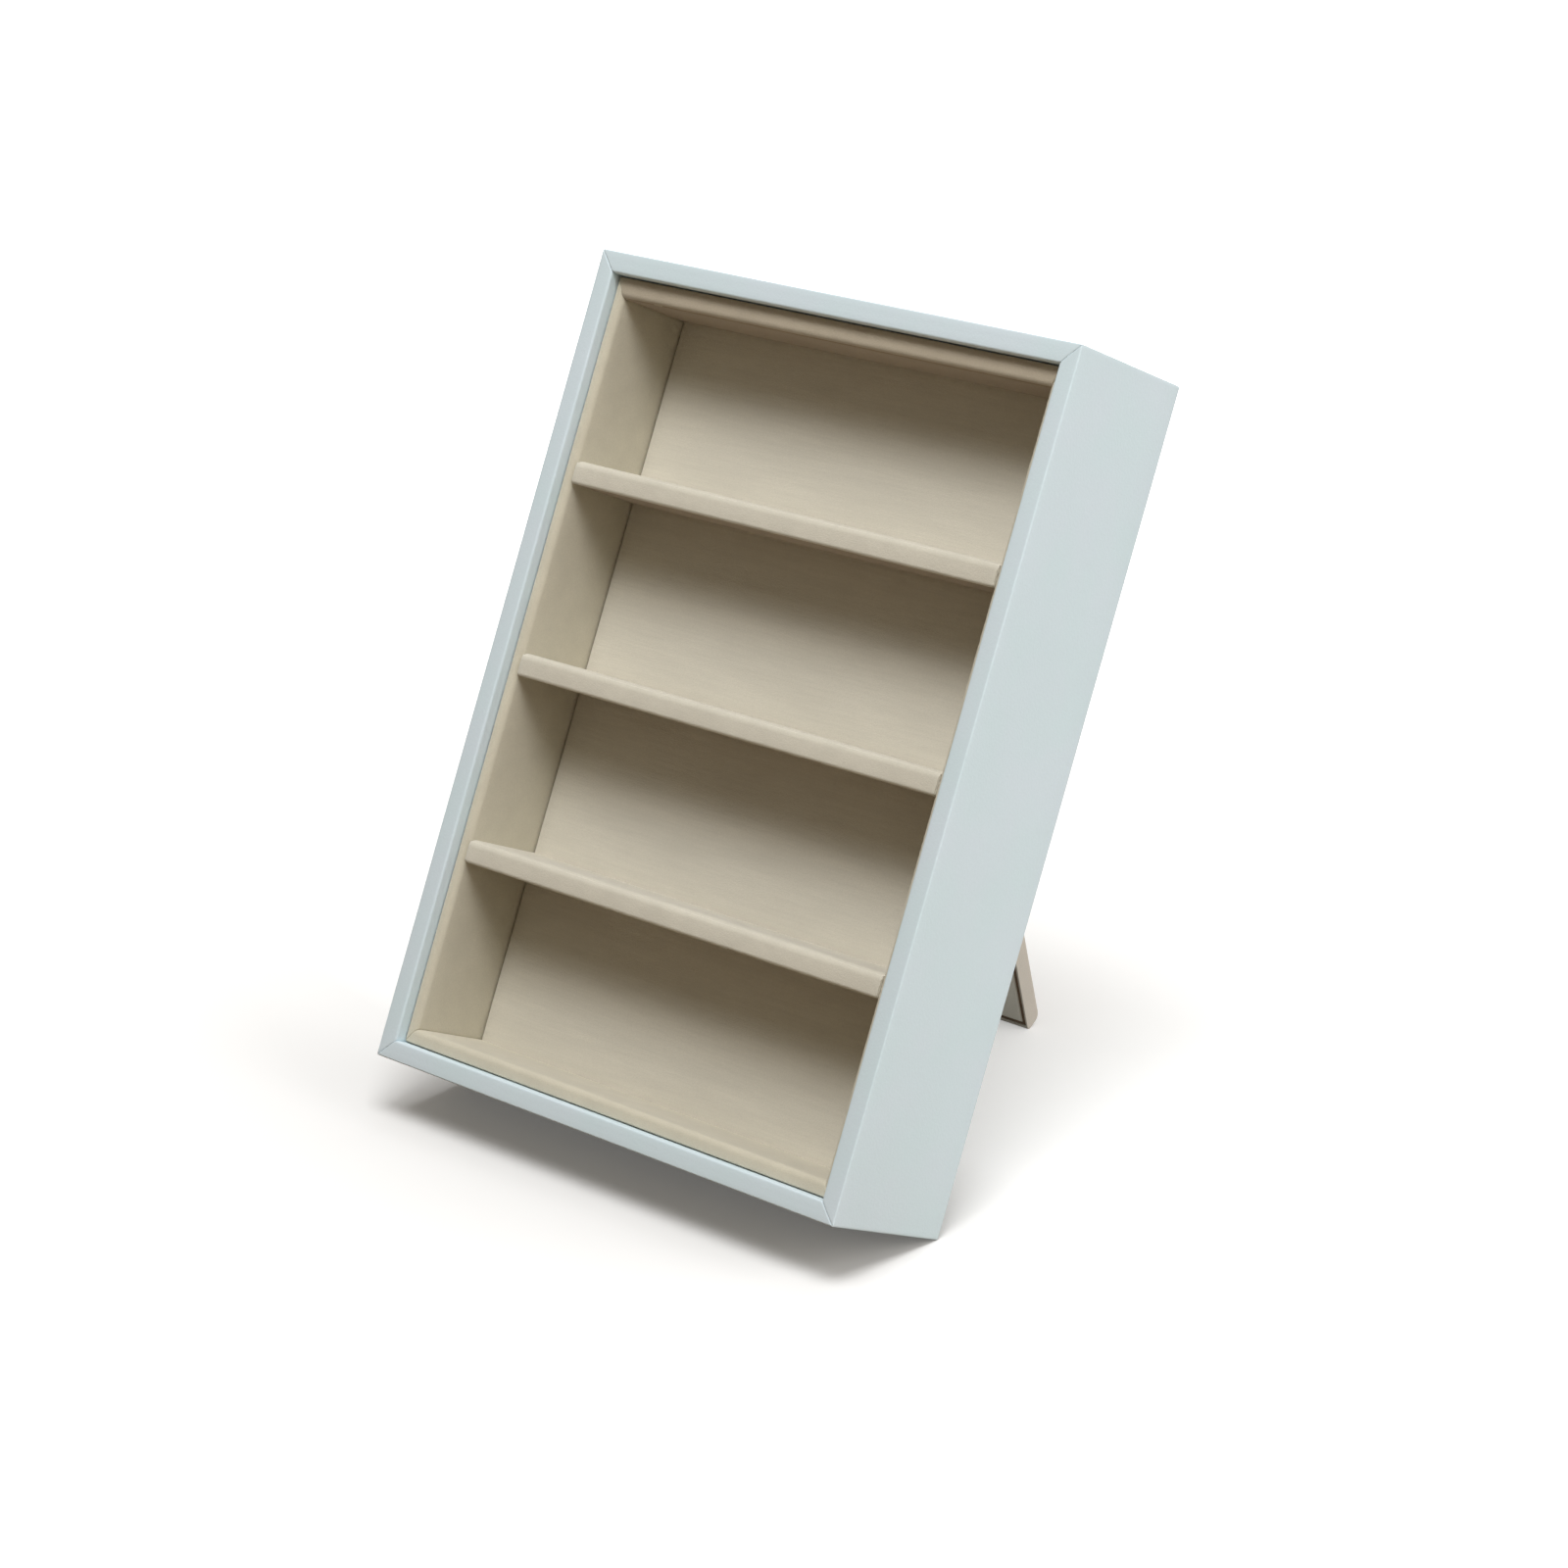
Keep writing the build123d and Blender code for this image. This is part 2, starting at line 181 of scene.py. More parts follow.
STEEL_MARKS = (0.5 * MM, 0.01 * MM)
STEEL_NAP = (12, 1, 1)

# Spread of a pattern: the two values that its contrast runs between
NOISE_SPREAD = (0.3, 0.7)
MOTTLING_SPREAD = (0.35, 0.65)
BRUSHING_SPREAD = (0.32, 0.68)
STREAK_SPREAD = (0.35, 0.7)
FOLD_SPREAD = (0.52, 0.62)
CELL_SPREAD = (0, 0.7)

# Shades of a pattern, as factors on the base colour, and the most that it covers
LEATHERETTE_COOL = (0.985, 1.0, 0.995)
LEATHERETTE_WARM = (1.015, 0.995, 1.01)
SPECK_SHADE = 0.86
SPECK_COVER = 0.12
# Paler folds: partly stretched coating, partly painted highlight
FOLD_STRETCH_AND_HIGHLIGHT_SHADE = 1.14
FOLD_STRETCH_AND_HIGHLIGHT_COVER = 0.1
BRUSHED_SHADES = (0.955, 1.035)
HAIR_SHADE = 0.82
HAIR_COVER = 0.45
STREAK_SHADE = 0.7
PAD_STREAKS = 0.16
FIBRE_SHADES = (0.82, 1.12)
CELL_SHADE = 0.88
MARK_SHADES = (0.88, 1.08)

# Shine of the materials
LEATHERETTE_ROUGHNESS = (0.56, 0.68)
LEATHERETTE_SPECULAR = 0.25
SUEDE_ROUGHNESS = 0.92
SUEDE_SPECULAR = 0.2
SUEDE_SHEEN = 0.25
SUEDE_SHEEN_ROUGHNESS = 0.6
BOARD_ROUGHNESS = 0.9
FOAM_ROUGHNESS = 0.85
STEEL_ROUGHNESS = (0.26, 0.4)


def linear(code):
    """Linear colour of a written #RRGGBB one."""
    parts = [int(code[i:i + 2], 16) / 255 for i in (1, 3, 5)]
    parts = [p / 12.92 if p <= 0.04045 else ((p + 0.055) / 1.055) ** 2.4 for p in parts]
    return (*parts, 1.0)


def scaled(colour, factor):
    """Colour made darker or lighter."""
    return (*(min(1.0, part * factor) for part in colour[:3]), 1.0)


def tinted(colour, tint):
    """Colour with a factor on each of its parts."""
    return (*(part * factor for part, factor in zip(colour, tint)), 1.0)


def start_material(name):
    """New material with its shader and the coordinates of the object it is on."""
    material = bpy.data.materials.new(name)
    material.use_nodes = True
    tree = material.node_tree
    shader = tree.nodes["Principled BSDF"]
    coordinates = tree.nodes.new("ShaderNodeTexCoord").outputs["Object"]
    return material, tree, shader, coordinates


def patches(tree, coordinates, size, detail=3, stretch=NO_NAP):
    """Noise with patches of that size in metres, drawn out along the stretched axes."""
    mapping = tree.nodes.new("ShaderNodeMapping")
    mapping.inputs["Scale"].default_value = [1 / (size * part) for part in stretch]
    tree.links.new(coordinates, mapping.inputs["Vector"])
    texture = tree.nodes.new("ShaderNodeTexNoise")
    texture.inputs["Scale"].default_value = 1.0
    texture.inputs["Detail"].default_value = detail
    tree.links.new(mapping.outputs["Vector"], texture.inputs["Vector"])
    return texture.outputs["Fac"]


def pebbles(tree, coordinates, size):
    """Rounded cells of that size in metres, as pressed into leatherette."""
    texture = tree.nodes.new("ShaderNodeTexVoronoi")
    texture.feature = "SMOOTH_F1"
    texture.inputs["Scale"].default_value = 1 / size
    texture.inputs["Smoothness"].default_value = CELL_SMOOTHNESS
    tree.links.new(coordinates, texture.inputs["Vector"])
    return texture.outputs["Distance"]


def remap(tree, value, low, high, to_low, to_high):
    """Value stretched from one range to another and held inside it."""
    node = tree.nodes.new("ShaderNodeMapRange")
    node.inputs["From Min"].default_value = low
    node.inputs["From Max"].default_value = high
    node.inputs["To Min"].default_value = to_low
    node.inputs["To Max"].default_value = to_high
    tree.links.new(value, node.inputs["Value"])
    return node.outputs["Result"]


def combine(tree, operation, first, second):
    """Result of a maths operation on two values."""
    node = tree.nodes.new("ShaderNodeMath")
    node.operation = operation
    tree.links.new(first, node.inputs[0])
    tree.links.new(second, node.inputs[1])
    return node.outputs[0]


def blend_colours(tree, amount, first, second):
    """Colour between two colours or colour outputs."""
    node = tree.nodes.new("ShaderNodeMix")
    node.data_type = "RGBA"
    tree.links.new(amount, node.inputs["Factor"])
    for socket, colour in ((node.inputs["A"], first), (node.inputs["B"], second)):
        if isinstance(colour, tuple):
            socket.default_value = colour
        else:
            tree.links.new(colour, socket)
    return node.outputs["Result"]


def relief(tree, shader, layers):
    """Bumps of several heights, each given as (value, depth in metres)."""
    normal = None
    for value, depth in layers:
        bump = tree.nodes.new("ShaderNodeBump")
        bump.inputs["Distance"].default_value = depth
        tree.links.new(value, bump.inputs["Height"])
        if normal:
            tree.links.new(normal, bump.inputs["Normal"])
        normal = bump.outputs["Normal"]
    tree.links.new(normal, shader.inputs["Normal"])


def leatherette(name, code):
    """Fine-grained coated cloth: small pebbles, faint mottling, and folds paler partly from
    stretching and partly from a painted highlight.
    """
    material, tree, shader, coordinates = start_material(name)
    base = linear(code)
    mottling = patches(tree, coordinates, LEATHERETTE_MOTTLING, detail=4)
    mottling = remap(tree, mottling, *MOTTLING_SPREAD, 0, 1)
    cool, warm = tinted(base, LEATHERETTE_COOL), tinted(base, LEATHERETTE_WARM)
    colour = blend_colours(tree, mottling, cool, warm)
    specks = patches(tree, coordinates, LEATHERETTE_SPECKS, detail=2)
    specks = remap(tree, specks, *NOISE_SPREAD, 0, SPECK_COVER)
    colour = blend_colours(tree, specks, colour, scaled(base, SPECK_SHADE))
    # Sharp folds turn paler: partly stretched coating, partly painted highlight
    geometry = tree.nodes.new("ShaderNodeNewGeometry")
    stretch_and_highlight = remap(tree, geometry.outputs["Pointiness"], *FOLD_SPREAD, 0, FOLD_STRETCH_AND_HIGHLIGHT_COVER)
    colour = blend_colours(tree, stretch_and_highlight, colour, scaled(base, FOLD_STRETCH_AND_HIGHLIGHT_SHADE))
    tree.links.new(colour, shader.inputs["Base Color"])
    shine = patches(tree, coordinates, LEATHERETTE_SHINE)
    roughness = remap(tree, shine, *NOISE_SPREAD, *LEATHERETTE_ROUGHNESS)
    tree.links.new(roughness, shader.inputs["Roughness"])
    shader.inputs["Specular IOR Level"].default_value = LEATHERETTE_SPECULAR
    pebble, pebble_depth = LEATHERETTE_PEBBLES
    grain, grain_depth = LEATHERETTE_GRAIN
    relief(tree, shader, [
        (pebbles(tree, coordinates, pebble), pebble_depth),
        (patches(tree, coordinates, grain, detail=2), grain_depth),
    ])
    return material


def suede(name, code, nap, streaks=0.0):
    """Short-haired microfibre: sheen, fine hair, and brushed patches drawn out along the nap."""
    material, tree, shader, coordinates = start_material(name)
    base = linear(code)
    brushed = patches(tree, coordinates, SUEDE_BRUSHING, detail=4, stretch=nap)
    brushed = remap(tree, brushed, *BRUSHING_SPREAD, 0, 1)
    colour = blend_colours(tree, brushed, *(scaled(base, shade) for shade in BRUSHED_SHADES))
    hair_size, hair_depth = SUEDE_HAIR
    hair = remap(tree, patches(tree, coordinates, hair_size), *NOISE_SPREAD, 0, 1)
    cover = remap(tree, hair, 0, 1, 0, HAIR_COVER)
    colour = blend_colours(tree, cover, colour, scaled(base, HAIR_SHADE))
    if streaks:
        lines = patches(tree, coordinates, SUEDE_STREAKS, detail=2, stretch=STREAK_NAP)
        faint = remap(tree, lines, *STREAK_SPREAD, 0, streaks)
        colour = blend_colours(tree, faint, colour, scaled(base, STREAK_SHADE))
    tree.links.new(colour, shader.inputs["Base Color"])
    shader.inputs["Roughness"].default_value = SUEDE_ROUGHNESS
    shader.inputs["Specular IOR Level"].default_value = SUEDE_SPECULAR
    shader.inputs["Sheen Weight"].default_value = SUEDE_SHEEN
    shader.inputs["Sheen Roughness"].default_value = SUEDE_SHEEN_ROUGHNESS
    lock, lock_depth = SUEDE_LOCKS
    relief(tree, shader, [
        (patches(tree, coordinates, lock, stretch=nap), lock_depth),
        (hair, hair_depth),
    ])
    return material


def board(name, code):
    """Grey pressed board with short fibres."""
    material, tree, shader, coordinates = start_material(name)
    base = linear(code)
    fibre, depth = BOARD_FIBRES
    fibres = patches(tree, coordinates, fibre, detail=5, stretch=BOARD_NAP)
    fibres = remap(tree, fibres, *NOISE_SPREAD, 0, 1)
    colour = blend_colours(tree, fibres, *(scaled(base, shade) for shade in FIBRE_SHADES))
    tree.links.new(colour, shader.inputs["Base Color"])
    shader.inputs["Roughness"].default_value = BOARD_ROUGHNESS
    relief(tree, shader, [(fibres, depth)])
    return material


def foam(name, code):
    """Pale closed-cell foam."""
    material, tree, shader, coordinates = start_material(name)
    base = linear(code)
    cell, depth = FOAM_CELLS
    cells = pebbles(tree, coordinates, cell)
    domes = remap(tree, cells, *CELL_SPREAD, 0, 1)
    colour = blend_colours(tree, domes, scaled(base, CELL_SHADE), base)
    tree.links.new(colour, shader.inputs["Base Color"])
    shader.inputs["Roughness"].default_value = FOAM_ROUGHNESS
    relief(tree, shader, [(cells, depth)])
    return material


def steel(name, code):
    """Nickel-plated steel with faint rolling marks."""
    material, tree, shader, coordinates = start_material(name)
    base = linear(code)
    mark, depth = STEEL_MARKS
    marks = patches(tree, coordinates, mark, stretch=STEEL_NAP)
    marks = remap(tree, marks, *NOISE_SPREAD, 0, 1)
    colour = blend_colours(tree, marks, *(scaled(base, shade) for shade in MARK_SHADES))
    tree.links.new(colour, shader.inputs["Base Color"])
    shader.inputs["Metallic"].default_value = 1.0
    roughness = remap(tree, marks, 0, 1, *STEEL_ROUGHNESS)
    tree.links.new(roughness, shader.inputs["Roughness"])
    relief(tree, shader, [(marks, depth)])
    return material


def reach(nodes, axes):
    """Lowest and highest reach of CAD nodes along three axes."""
    points = [v.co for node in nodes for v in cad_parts[node].data.vertices]
    spans = [[point.dot(axis) for point in points] for axis in axes]
    return [min(span) for span in spans], [max(span) for span in spans]


def place(axes, *distances):
    """Point at these distances along the axes."""
    return sum((axis * distance for axis, distance in zip(axes, distances)), Vector())


def in_steady_order(build):
    """Vertices and faces of a bmesh by their places, because its own order varies by run."""
    ordered = sorted(build.verts, key=lambda vertex: [round(c / NEAR) for c in vertex.co])
    number = {vertex: i for i, vertex in enumerate(ordered)}
    faces = [[number[vertex] for vertex in face.verts] for face in build.faces]
    return [vertex.co.copy() for vertex in ordered], sorted(faces, key=sorted)


def add_piece(name, vertices, faces, material, body, nodes):
    """Soft piece that stands for CAD nodes and rides on their body."""
    mesh = bpy.data.meshes.new(name)
    mesh.from_pydata(vertices, [], faces)
    build = bmesh.new()
    build.from_mesh(mesh)
    bmesh.ops.recalc_face_normals(build, faces=build.faces)
    build.to_mesh(mesh)
    build.free()
    mesh.materials.append(material)
    mesh.shade_smooth()
    mesh.set_sharp_from_angle(angle=SHARP_ANGLE)
    piece = bpy.data.objects.new(name, mesh)
    bpy.context.scene.collection.objects.link(piece)
    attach(piece, body)
    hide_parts(*nodes)
    return piece


def dent_at(point, size):
    """How deep a field of dents of that size is there, from none to whole."""
    return 0.5 + 0.5 * noise.noise(point / size)


def ripple(piece, dents, at_sides=1.0):
    """Press shallow, wide dents into a cover that is glued by hand, weaker at its sides."""
    depth, size = dents
    normals = [vertex.normal.copy() for vertex in piece.data.vertices]
    for vertex, normal in zip(piece.data.vertices, normals):
        share = max(at_sides, normal.dot(FORWARD))
        vertex.co -= normal * depth * share * dent_at(vertex.co, size)


def sag(pad, dents):
    """Press shallow, wide dents straight into the face of a pad, whose back stays flat."""
    depth, size = dents
    heights = [vertex.co.dot(FORWARD) for vertex in pad.data.vertices]
    middle = (min(heights) + max(heights)) / 2
    for vertex, height in zip(pad.data.vertices, heights):
        if height > middle:
            vertex.co -= FORWARD * depth * dent_at(vertex.co, size)


def face_with(piece, material, is_chosen):
    """Give the chosen faces of a piece another material."""
    index = len(piece.data.materials)
    piece.data.materials.append(material)
    for face in piece.data.polygons:
        if is_chosen(face):
            face.material_index = index


def looks_forward(face):
    """Whether a face looks out of the tray."""
    return face.normal.dot(FORWARD) > LOOKING_OUT


def looks_down(face):
    """Whether a face looks down the tray: an underside, which gets painted shade."""
    return face.normal.dot(UP_TRAY) < -FACING


def round_section(corners, inset=0.0):
    """Closed outline with right-angled corners, given in turn as (across, forward, radius, steps).

    The steps are those of the straight that follows the corner. The outline can be drawn
    smaller all round, with as many points.
    """
    turn = [Vector(corner[:2]) for corner in corners]
    points = []
    for i, (_, _, radius, steps) in enumerate(corners):
        here, before, after = turn[i], turn[i - 1], turn[(i + 1) % len(turn)]
        back, on = (before - here).normalized(), (after - here).normalized()
        inward = 1 if back.x * on.y - back.y * on.x < 0 else -1
        centre = here + (back + on) * max(radius, inset)
        if radius:
            for k in range(FOLD_STEPS + 1):
                angle = pi / 2 * k / FOLD_STEPS
                spoke = -on * cos(angle) - back * sin(angle)
                points.append(centre + spoke * (max(radius, inset) - inset))
        else:
            points.append(here + (back + on) * inset * inward)
        leave = points[-1]
        next_radius = max(corners[(i + 1) % len(turn)][2], inset)
        arrive = after - on * next_radius + (leave - here - on * (leave - here).dot(on))
        for k in range(1, steps):
            points.append(leave.lerp(arrive, k / steps))
    return points


def sweep(rings):
    """Vertices and faces of a closed tube through rings of points."""
    count = len(rings[0])
    vertices = [point for ring in rings for point in ring]
    faces = [tuple(range(count)), tuple(range(len(vertices) - count, len(vertices)))]
    for start in range(0, len(vertices) - count, count):
        for i in range(count):
            j = (i + 1) % count
            faces.append((start + i, start + j, start + count + j, start + count + i))
    return vertices, faces


def stations(half_length):
    """Distances from the middle of a strip, closer together at its seams."""
    ends = [half_length - distance for distance in NEAR_SEAM]
    count = round(ends[-1] * 2 / STATION)
    inner = [ends[-1] * (2 * k / count - 1) for k in range(1, count)]
    return [-end for end in ends] + inner + ends[::-1]


def wrapped_side(side, section):
    """Rings of one mitred side of a frame, with a fine groove where it meets the next side."""
    outer, inward, half_length, near_slant, far_slant = side
    along = inward.cross(FORWARD)
    rings = []
    for distance in stations(half_length):
        to_seam = half_length - abs(distance)
        groove = SEAM_DEPTH * exp(-(to_seam / SEAM_WIDTH) ** 2)
        shrink = distance / half_length * (far_slant if distance > 0 else near_slant)
        rings.append([
            outer + inward * u + FORWARD * h + along * (distance - shrink * u)
            for u, h in round_section(section, groove)
        ])
    return rings


def frame_sides(low, high, walls):
    """Outer line, inward direction, half length and mitres of the four sides of a frame.

    A mitre is given by how far it moves along the side for each step inward. It goes from the
    outer to the inner corner, so it leans where two walls of different thickness meet.
    """
    middle_s = (low[1] + high[1]) / 2
    half_height = (high[1] - low[1]) / 2
    half_width = (high[0] - low[0]) / 2
    sides = {
        "left": (place(TRAY_AXES, low[0], middle_s, 0), ACROSS, half_height, "top", "bottom"),
        "right": (place(TRAY_AXES, high[0], middle_s, 0), -ACROSS, half_height, "bottom", "top"),
        "bottom": (place(TRAY_AXES, 0, low[1], 0), UP_TRAY, half_width, "left", "right"),
        "top": (place(TRAY_AXES, 0, high[1], 0), -UP_TRAY, half_width, "right", "left"),
    }
    return {
        name: (outer, inward, half_length, walls[near] / walls[name], walls[far] / walls[name])
        for name, (outer, inward, half_length, near, far) in sides.items()
    }


def wall_thicknesses(prefix, suffix):
    """Thickness of each wall of a frame, measured on its CAD skins."""
    walls = {}
    for name, axis in (("left", 0), ("right", 0), ("bottom", 1), ("top", 1)):
        low, high = reach([f"{prefix}_{name}_{suffix}"], TRAY_AXES)
        walls[name] = high[axis] - low[axis]
    return walls


def edge_steps(low, high, radius, cell):
    """Places across a pad, closer together over its rounded edges."""
    rounding = [radius * (1 - cos(pi / 2 * k / FOLD_STEPS)) for k in range(FOLD_STEPS)]
    count = max(2, round((high - low - 2 * radius) / cell))
    flat = [low + radius + (high - low - 2 * radius) * k / count for k in range(count + 1)]
    return [low + r for r in rounding] + flat + [high - r for r in reversed(rounding)]


def edge_drop(to_edge, radius):
    """How far a rounded edge has dropped at a distance from it."""
    near = min(1.0, max(0.0, to_edge / radius))
    return radius * (1 - (1 - (1 - near) ** 2) ** 0.5)


def pad_surface(axes, low, high, radius, end_radius, crown, front):
    """Vertices and faces of a pad: a crowned face with rounded edges on a flat back.

    The pad lies across the first two axes. Its face is at the high end of the third axis, or at
    the low end where front is -1.
    """
    across = edge_steps(low[0], high[0], radius, PAD_CELL)
    along = edge_steps(low[1], high[1], end_radius, PAD_CELL)
    back, face = (low[2], high[2]) if front > 0 else (high[2], low[2])

    def depth_at(x, s):
        """Distance of the surface from the pad's face."""
        drop = max(
            edge_drop(min(x - low[0], high[0] - x), radius),
            edge_drop(min(s - low[1], high[1] - s), end_radius),
        )
        belly = 1 - (2 * (x - low[0]) / (high[0] - low[0]) - 1) ** BELLY_POWER
        belly *= 1 - (2 * (s - low[1]) / (high[1] - low[1]) - 1) ** BELLY_POWER
        return drop + crown * (1 - belly)

    rows, columns = len(along), len(across)
    vertices = [place(axes, x, s, face - front * depth_at(x, s)) for s in along for x in across]
    faces = [
        (r * columns + c, r * columns + c + 1, (r + 1) * columns + c + 1, (r + 1) * columns + c)
        for r in range(rows - 1) for c in range(columns - 1)
    ]
    rim = list(range(columns))
    rim += [r * columns + columns - 1 for r in range(1, rows)]
    rim += [(rows - 1) * columns + c for c in range(columns - 2, -1, -1)]
    rim += [r * columns for r in range(rows - 2, 0, -1)]
    start = len(vertices)
    for index in rim:
        point = vertices[index]
        vertices.append(place(axes, point.dot(axes[0]), point.dot(axes[1]), back))
    for i in range(len(rim)):
        j = (i + 1) % len(rim)
        faces.append((rim[i], rim[j], start + j, start + i))
    faces.append(tuple(range(start, start + len(rim))))
    return vertices, faces


def add_pad(name, node, axes, front, radii, crown, material, body, inset=(0.0, 0.0)):
    """Pad or panel in the place of a flat CAD one, drawn in a little at its edges."""
    low, high = reach([node], axes)
    low = [low[0] + inset[0], low[1] + inset[1], low[2]]
    high = [high[0] - inset[0], high[1] - inset[1], high[2]]
    vertices, faces = pad_surface(axes, low, high, *radii, crown, front)
    return add_piece(name, vertices, faces, material, body, [node])


def build_case():
    """Leatherette over the four sides and the back, and the paper on the floor."""
    low, high = reach([f"case_{side}_wrap" for side in SIDES], TRAY_AXES)
    walls = wall_thicknesses("case", "wrap")
    # In the photograph the top rim reaches a little lower than the CAD one
    walls["top"] += TOP_RIM_SWELL
    for name, side in frame_sides(low, high, walls).items():
        rim = walls[name]
        section = [
            (0, low[2], CASE_FOLD, RIM_STEPS), (rim, low[2], CASE_FOLD, FACE_STEPS),
            (rim, high[2], CASE_INNER_FOLD, RIM_STEPS), (0, high[2], CASE_OUTER_FOLD, FACE_STEPS),
        ]
        vertices, faces = sweep(wrapped_side(side, section))
        wrap = add_piece(f"case_{name}_leatherette", vertices, faces, BLUE, "case",
                         [f"case_{name}_wrap"])
        ripple(wrap, CASE_DENTS)
    back = add_pad("case_back_leatherette", "case_back_cover", TRAY_AXES, -1,
                   (COVER_EDGE, COVER_EDGE), COVER_CROWN, BLUE, "case")
    ripple(back, BACK_DENTS)
    add_pad("case_floor_paper", "case_floor_lining", TRAY_AXES, 1, (FLAP_EDGE, FLAP_EDGE), 0,
            PAPER, "case")


def build_insert():
    """Microsuede over the walls, the dividers and the backs of the compartments."""
    low, high = reach([f"insert_{side}_sleeve" for side in SIDES], TRAY_AXES)
    walls = wall_thicknesses("insert", "sleeve")
    floor = reach(["insert_floor_board"], TRAY_AXES)[1][2]
    for name, side in frame_sides(low, high, walls).items():
        wall = walls[name]
        section = [
            (0, low[2], FLAP_EDGE, NARROW_STEPS), (INSERT_FLAP, low[2], FLAP_EDGE, NARROW_STEPS),
            (INSERT_FLAP, floor, 0, NARROW_STEPS), (wall, floor, FLAP_EDGE, FACE_STEPS),
            (wall, high[2], WALL_INNER_NOSE, NARROW_STEPS), (0, high[2], WALL_NOSE, FACE_STEPS),
        ]
        vertices, faces = sweep(wrapped_side(side, section))
        # The walls get the darker copy of the suede, which is painted shade
        sleeve = add_piece(f"insert_{name}_suede", vertices, faces, SHADED_WALL_SUEDE, "insert",
                           [f"insert_{name}_sleeve"])
        ripple(sleeve, SLEEVE_DENTS, DENTS_AT_JOINS)
        if name == "top":
            # Painted shade on the front of the top wall, under the top rim
            face_with(sleeve, SHADED_TOP_SUEDE, looks_forward)
            # Painted shade on the top wall's underside
            face_with(sleeve, PAINTED_UNDERSIDE_SHADE, looks_down)

    for number in (1, 2, 3):
        node = f"divider_{number}_sleeve"
        low, high = reach([node], TRAY_AXES)
        section = [
            (low[1], low[2], FLAP_EDGE, RIM_STEPS), (high[1], low[2], FLAP_EDGE, FACE_STEPS),
            (high[1], high[2], DIVIDER_NOSE, NARROW_STEPS),
            (low[1], high[2], DIVIDER_UNDER_NOSE, FACE_STEPS),
        ]
        rings = []
        for x in stations(high[0]):
            to_end = high[0] - abs(x)
            tuck = DIVIDER_END_TUCK * exp(-(to_end / DIVIDER_END_ROUND) ** 2)
            rings.append([place(TRAY_AXES, x, s, h) for s, h in round_section(section, tuck)])
        vertices, faces = sweep(rings)
        divider = add_piece(f"divider_{number}_suede", vertices, faces, SUEDE, "insert", [node])
        ripple(divider, DIVIDER_DENTS, DENTS_AT_JOINS)
        # Painted shade on the divider's underside
        face_with(divider, PAINTED_UNDERSIDE_SHADE, looks_down)

    for number in (1, 2, 3, 4):
        pad = add_pad(f"cell_{number}_suede", f"cell_{number}_back_pad", TRAY_AXES, 1,
                      (PAD_EDGE, PAD_END_EDGE), PAD_CROWN, PAD_SUEDE, "insert",
                      (0.0, -PAD_END_REACH))
        sag(pad, PAD_DENTS)


def build_leg():
    """Suede skin of the leg with its lining let into the front, and painted shade in the groove
    round the lining.
    """
    low, high = reach(["leg_wrap"], LEG_AXES)
    build = bmesh.new()
    bmesh.ops.create_cube(build, size=1)
    for vertex in build.verts:
        shares = [part + 0.5 for part in vertex.co]
        vertex.co = [a + (b - a) * share for a, b, share in zip(low, high, shares)]

    def round_edges(is_on, radius):
        """Round the edges that have both ends on a chosen line."""
        edges = [edge for edge in build.edges if all(is_on(end.co) for end in edge.verts)]
        bmesh.ops.bevel(build, geom=edges, offset=radius, segments=FOLD_STEPS, profile=0.5,
                        affect="EDGES")

    def near(one, other):
        """Whether two distances are the same."""
        return abs(one - other) < NEAR

    round_edges(lambda p: near(p.y, high[1]) and near(p.z, high[2]), LEG_FOOT_BACK)
    round_edges(lambda p: near(p.y, high[1]) and near(p.z, low[2]), LEG_FOOT_FRONT)
    round_edges(lambda p: near(p.y, low[1]) and near(p.z, high[2]), LEG_TOP)
    round_edges(lambda p: near(p.y, low[1]) and near(p.z, low[2]), LEG_TOP)
    below_top = low[1] + LEG_TOP - NEAR
    for x in (low[0], high[0]):
        round_edges(lambda p: near(p.x, x) and p.y > below_top and p.z > low[2] + LEG_FOOT_FRONT,
                    LEG_LONG_EDGE)
        round_edges(lambda p: near(p.x, x) and near(p.z, low[2]), LEG_FRONT_EDGE)
    front = [min(build.faces, key=lambda face: face.calc_center_median().z)]
    bmesh.ops.inset_region(build, faces=front, thickness=LEG_LIP - LEG_FRONT_EDGE)
    bmesh.ops.inset_region(build, faces=front, thickness=LEG_LIP_SLOPE, depth=-LEG_LIP_DEPTH)
    vertices, faces = in_steady_order(build)
    vertices = [place(LEG_AXES, *vertex) for vertex in vertices]
    build.free()
    skin = add_piece("leg_suede", vertices, faces, LEG_SUEDE, "easel_leg", ["leg_wrap"])
    # Painted shade: the floor of the recess round the lining gets a dark brown, where the groove's
    # shadow falls
    recess = low[2] + LEG_LIP_DEPTH / 2
    face_with(skin, PAINTED_GROOVE_SHADE, lambda face: face.normal.dot(BEHIND_LEG) < -FACING
              and face.center.dot(BEHIND_LEG) > recess)
    # The lining's paler suede is painted light
    add_pad("leg_lining_suede", "leg_lining", LEG_AXES, -1, (LINING_EDGE, LINING_EDGE),
            LINING_CROWN, PAINTED_LIGHT_LEG_LINING, "easel_leg", (LINING_INSET, LINING_INSET))


def dress_cad(materials):
    """Give the CAD nodes that show their own materials, by the end of their names."""
    for name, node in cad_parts.items():
        for ending, material in materials.items():
            if name.endswith(ending):
                for slot in node.material_slots:
                    slot.material = material


def shown_rays(tree):
    """One for rays that show a surface: to the camera, in gloss and through glass."""
    path = tree.nodes.new("ShaderNodeLightPath")
    shown = path.outputs["Is Camera Ray"]
    for ray in ("Is Glossy Ray", "Is Transmission Ray"):
        shown = combine(tree, "MAXIMUM", shown, path.outputs[ray])
    return shown


